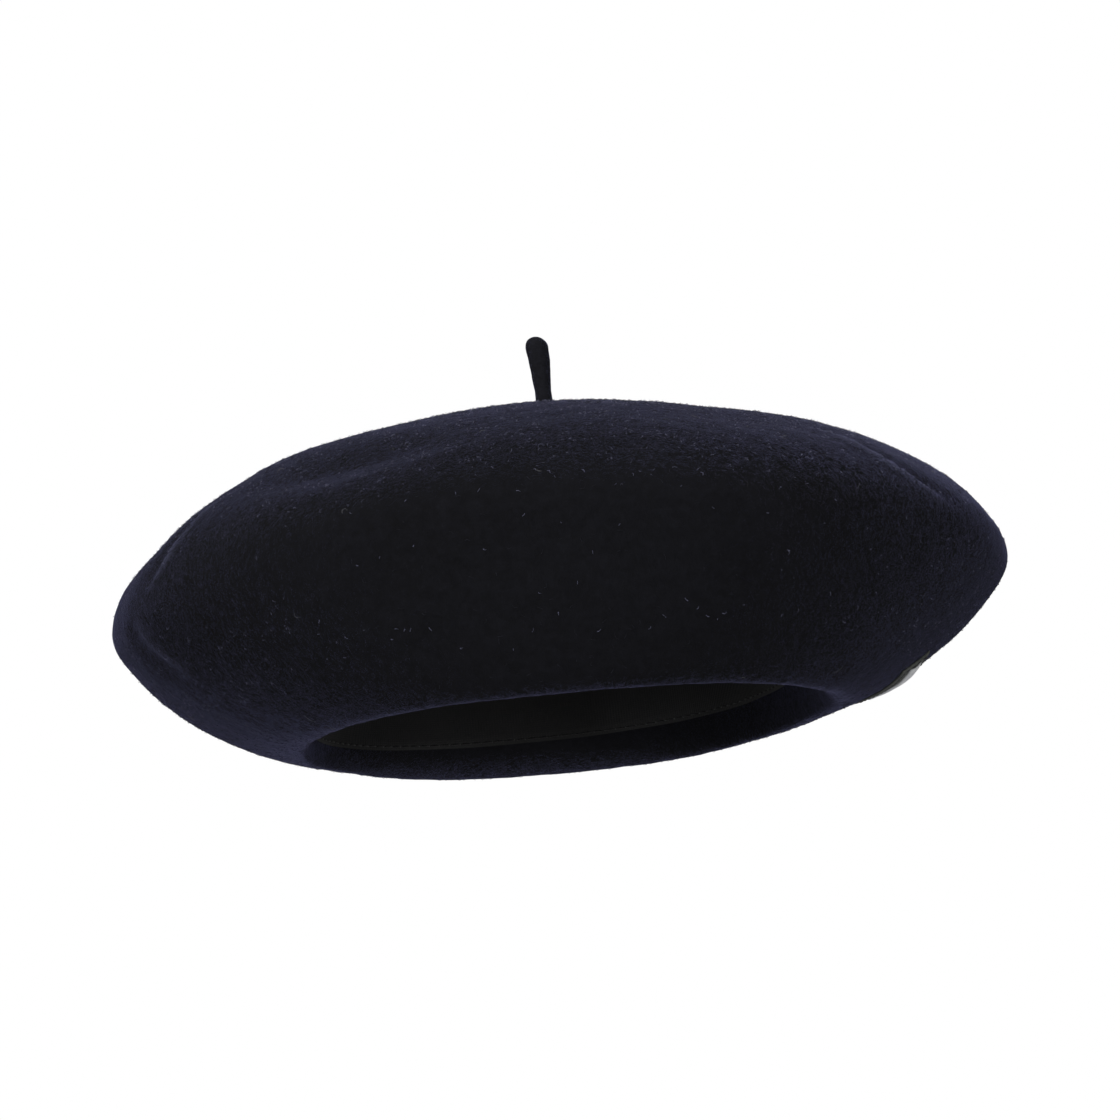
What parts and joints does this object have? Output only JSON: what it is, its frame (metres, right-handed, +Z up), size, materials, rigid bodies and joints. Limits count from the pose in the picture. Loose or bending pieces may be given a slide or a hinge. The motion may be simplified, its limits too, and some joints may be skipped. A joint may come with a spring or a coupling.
{
  "type": "beret",
  "caption": "Round one-piece wool felt beret with a soft rolled underside, a short stalk on its crown, an inner sweatband and a small plain side label.",
  "frame": {"origin": "centre of the head opening, in the plane of the felt's inner edge, where the head holds the beret", "axes": "+Z up through the crown, -Y the front, +X the side that carries the small label"},
  "size_m": [0.285, 0.28, 0.1349],
  "materials": {
    "wool_felt": "fulled wool felt, near-black navy, matt with a short nap",
    "grosgrain_ribbon": "ribbed black grosgrain",
    "sewing_thread": "twisted black thread",
    "woven_label": "damask weave, dark with a plain light bar",
    "satin_label": "off-white satin, blank"
  },
  "bodies": {
    "beret": {"felt_shell": "wool_felt", "stalk_root": "wool_felt", "stalk_thread": "sewing_thread", "sweatband": "grosgrain_ribbon", "sweatband_thread": "sewing_thread", "sweatband_splice": "grosgrain_ribbon", "splice_thread": "sewing_thread", "care_label_thread": "sewing_thread", "side_label": "woven_label", "side_label_thread": "sewing_thread"},
    "stalk_neck": {"stalk_neck": "wool_felt"},
    "stalk": {"stalk": "wool_felt"},
    "care_label": {"care_label": "satin_label"}
  },
  "joints": [
    {"name": "stalk_nod", "type": "hinge", "parent": "beret", "child": "stalk_neck", "pos_m": [0.0069, 0, 0.0935], "axis": [1, 0, 0], "range_deg": [-70, 70], "stiffness_Nm_per_rad": 0.0006},
    {"name": "stalk_sway", "type": "hinge", "parent": "stalk_neck", "child": "stalk", "pos_m": [0.0069, 0, 0.0935], "axis": [0, 1, 0], "range_deg": [-70, 70], "stiffness_Nm_per_rad": 0.0006},
    {"name": "care_label_flap", "type": "hinge", "parent": "beret", "child": "care_label", "pos_m": [-0.04767, -0.08332, 0.0185], "axis": [0.7421, -0.6703, 0], "range_deg": [0, 120]}
  ]
}
